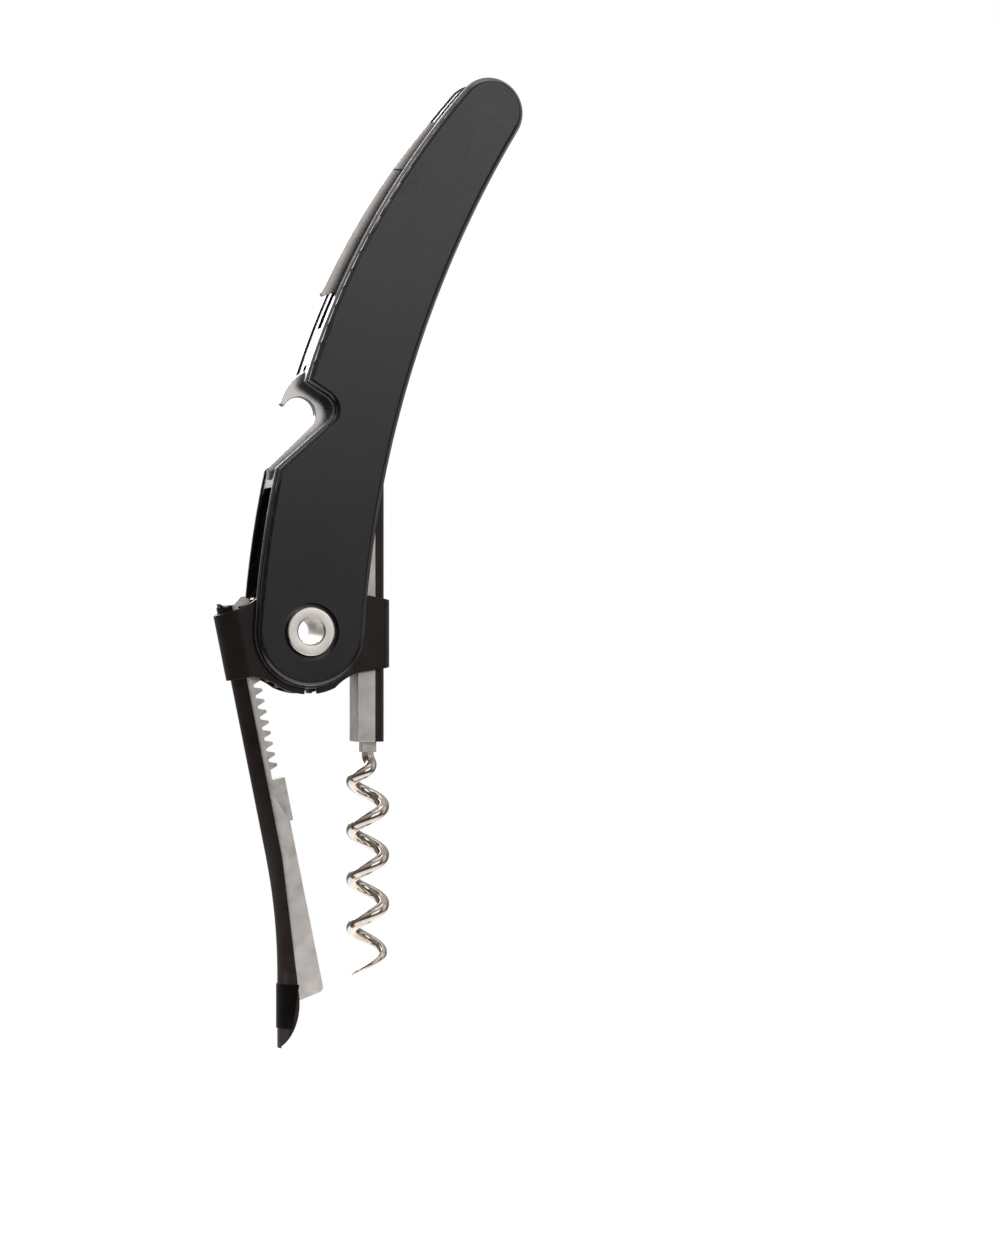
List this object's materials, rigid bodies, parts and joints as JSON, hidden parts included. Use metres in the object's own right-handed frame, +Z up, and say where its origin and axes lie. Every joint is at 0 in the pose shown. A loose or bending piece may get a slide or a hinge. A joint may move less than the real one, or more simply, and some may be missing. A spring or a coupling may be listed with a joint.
{
  "type": "lever corkscrew",
  "caption": "Geared lever corkscrew: a curved handle with a pinion drives a boot lever and a worm shaft through two racks, with a cap lifter and a folding foil knife.",
  "frame": {"origin": "pivot axis at mid-thickness, in the eyelet's bore", "axes": "+X from the boot lever towards the worm, +Y along the pivot, away from the front scale, +Z up the handle"},
  "size_m": [0.0683, 0.0144, 0.2123],
  "materials": {
    "channel_steel": "bead-blasted satin",
    "rack_steel": "machined",
    "black_cover": "satin black",
    "dark_clip": "gloss black",
    "black_bracket": "satin black",
    "washer_steel": "plain",
    "core_steel": "polished, dark nickel",
    "black_scale": "satin black",
    "eyelet_nickel": "polished nickel",
    "claw_steel": "tumbled",
    "pin_steel": "plain",
    "spring_steel": "tempered",
    "worm_steel": "polished",
    "blade_steel": "ground"
  },
  "bodies": {
    "arm": {"arm_channel": "channel_steel", "arm_rack": "rack_steel", "arm_cover": "black_cover", "arm_tip_clip": "dark_clip", "arm_stop": "black_cover"},
    "carriage": {"carriage_bracket": "black_bracket", "front_washer": "washer_steel", "back_washer": "washer_steel"},
    "handle": {"front_liner": "core_steel", "back_liner": "core_steel", "spine_web": "core_steel", "front_scale": "black_scale", "back_scale": "black_scale", "pinion": "rack_steel", "pivot_eyelet": "eyelet_nickel", "cap_lifter": "claw_steel", "lifter_pins": "pin_steel", "knife_pin": "pin_steel", "front_bush": "washer_steel", "back_bush": "washer_steel", "knife_spring": "spring_steel", "spring_pin": "pin_steel"},
    "worm_shaft": {"shaft_channel": "channel_steel", "shaft_rack": "rack_steel", "shaft_cover": "black_cover", "worm": "worm_steel", "worm_pin": "pin_steel"},
    "knife": {"foil_blade": "blade_steel"}
  },
  "joints": [
    {"name": "carriage_slide", "type": "slide", "parent": "arm", "child": "carriage", "axis": [-0.1994, 0, 0.9799], "range_m": [-0.02185, 0]},
    {"name": "handle_swing", "type": "hinge", "parent": "carriage", "child": "handle", "pos_m": [0, 0, 0], "axis": [0, 1, 0], "range_deg": [0, 98]},
    {"name": "worm_slide", "type": "slide", "parent": "carriage", "child": "worm_shaft", "axis": [0, 0, 1], "range_m": [-0.02185, 0]},
    {"name": "knife_fold", "type": "hinge", "parent": "handle", "child": "knife", "pos_m": [0.034, 0, 0.109], "axis": [0, 1, 0], "range_deg": [0, 150]}
  ],
  "couplings": [
    {"joint": "carriage_slide", "follows": "handle_swing", "m_per_rad": -0.01275},
    {"joint": "worm_slide", "follows": "handle_swing", "m_per_rad": -0.01275}
  ]
}
